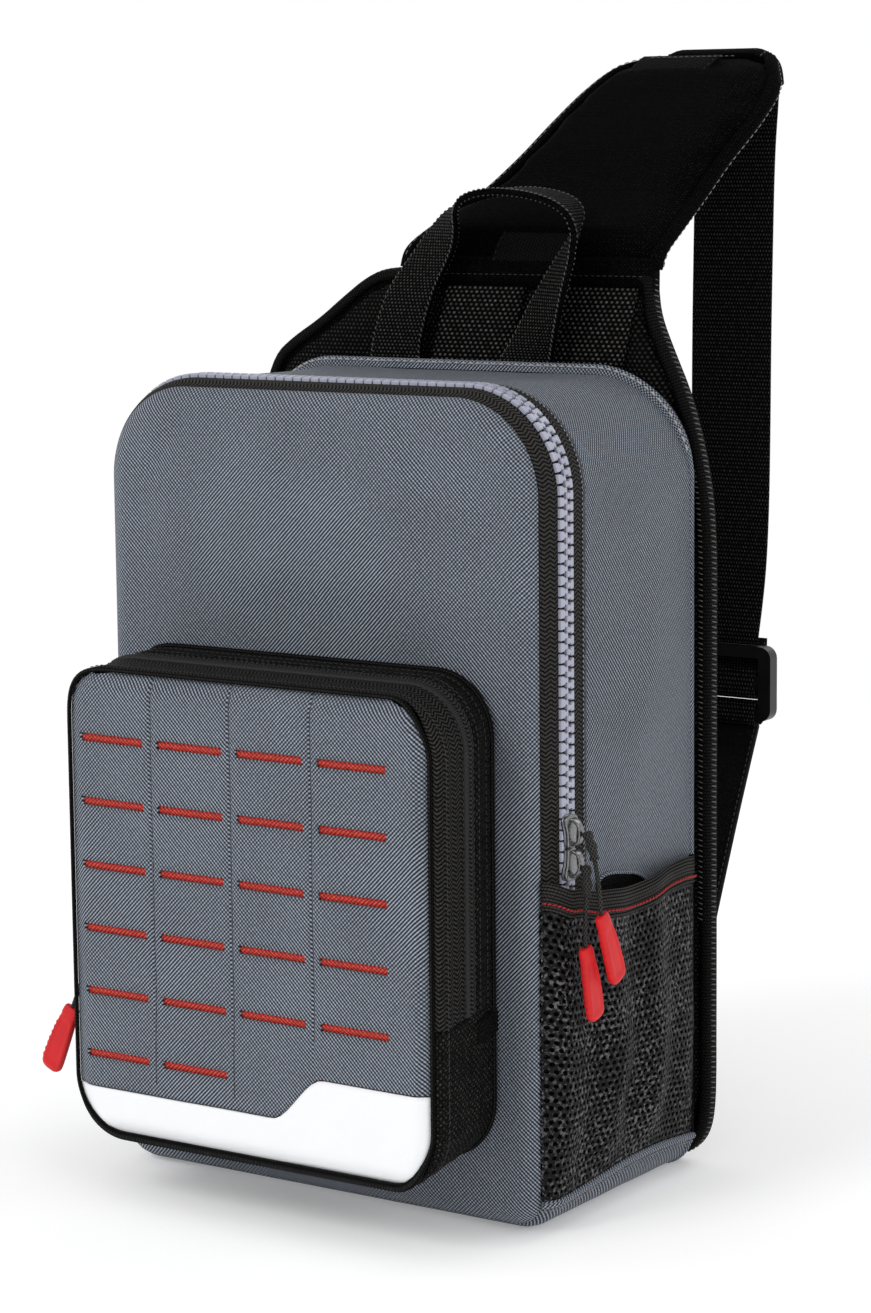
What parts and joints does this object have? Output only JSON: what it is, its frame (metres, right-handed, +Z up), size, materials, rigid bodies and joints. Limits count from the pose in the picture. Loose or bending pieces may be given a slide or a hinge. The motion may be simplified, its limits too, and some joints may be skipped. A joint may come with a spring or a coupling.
{
  "type": "fishing tackle sling bag",
  "caption": "Sling bag with a zipped body, slotted front pocket, mesh side pocket, carry handle, padded back and one wide shoulder strap on adjustable webbing.",
  "frame": {"origin": "centre of the bag's flat bottom, on the surface that it stands on", "axes": "+Z up, -Y out of the front pocket, +Y out of the padded back, +X towards the mesh side pocket"},
  "size_m": [0.2422, 0.2713, 0.4513],
  "materials": {
    "grey_fabric": "blue-grey two-tone coarse plain weave, matt",
    "black_fabric": "black padded plain weave, matt",
    "black_webbing": "black woven webbing and tape with a fine rib",
    "light_panel": "white coated fabric, smooth and slightly satin",
    "red_fabric": "red weave and bar-tack thread",
    "zip_teeth": "moulded lavender-grey teeth, slightly glossy",
    "slider_metal": "nickel-plated",
    "pull_cord": "black braided cord",
    "pull_grip": "red moulded rubber, glossy",
    "adjuster_plastic": "black moulded plastic, satin",
    "side_mesh": "black open knitted mesh"
  },
  "bodies": {
    "root": {"front_panel": "grey_fabric", "body_gusset": "grey_fabric", "main_zip_front_tape": "black_webbing", "main_zip_chain": "zip_teeth", "main_zip_rear_tape": "black_webbing", "main_slider_upper": "slider_metal", "main_slider_lower": "slider_metal", "main_pull_cord_upper": "pull_cord", "main_pull_cord_lower": "pull_cord", "main_pull_grip_upper": "pull_grip", "main_pull_grip_lower": "pull_grip", "pocket_piping": "black_webbing", "pocket_zip_front_tape": "black_webbing", "pocket_zip_coil": "black_webbing", "pocket_zip_rear_tape": "black_webbing", "pocket_gusset": "black_fabric", "pocket_zip_patch_right": "black_webbing", "pocket_zip_patch_left": "black_webbing", "pocket_face": "grey_fabric", "pocket_light_panel": "light_panel", "pocket_slot_backing": "red_fabric", "pocket_slider": "slider_metal", "pocket_pull_cord": "pull_cord", "pocket_pull_grip": "pull_grip", "mesh_pocket": "side_mesh", "mesh_pocket_band": "black_webbing", "back_panel": "black_fabric", "back_panel_binding": "black_webbing", "grab_handle": "black_webbing", "yoke_webbing_left": "black_webbing", "yoke_webbing_right": "black_webbing", "shoulder_strap": "black_fabric", "bar_tack_lower": "red_fabric", "bar_tack_upper": "red_fabric", "strap_end_fold": "black_fabric", "strap_webbing": "black_webbing", "strap_adjuster": "adjuster_plastic", "strap_lower_wing": "black_fabric"}
  },
  "joints": []
}
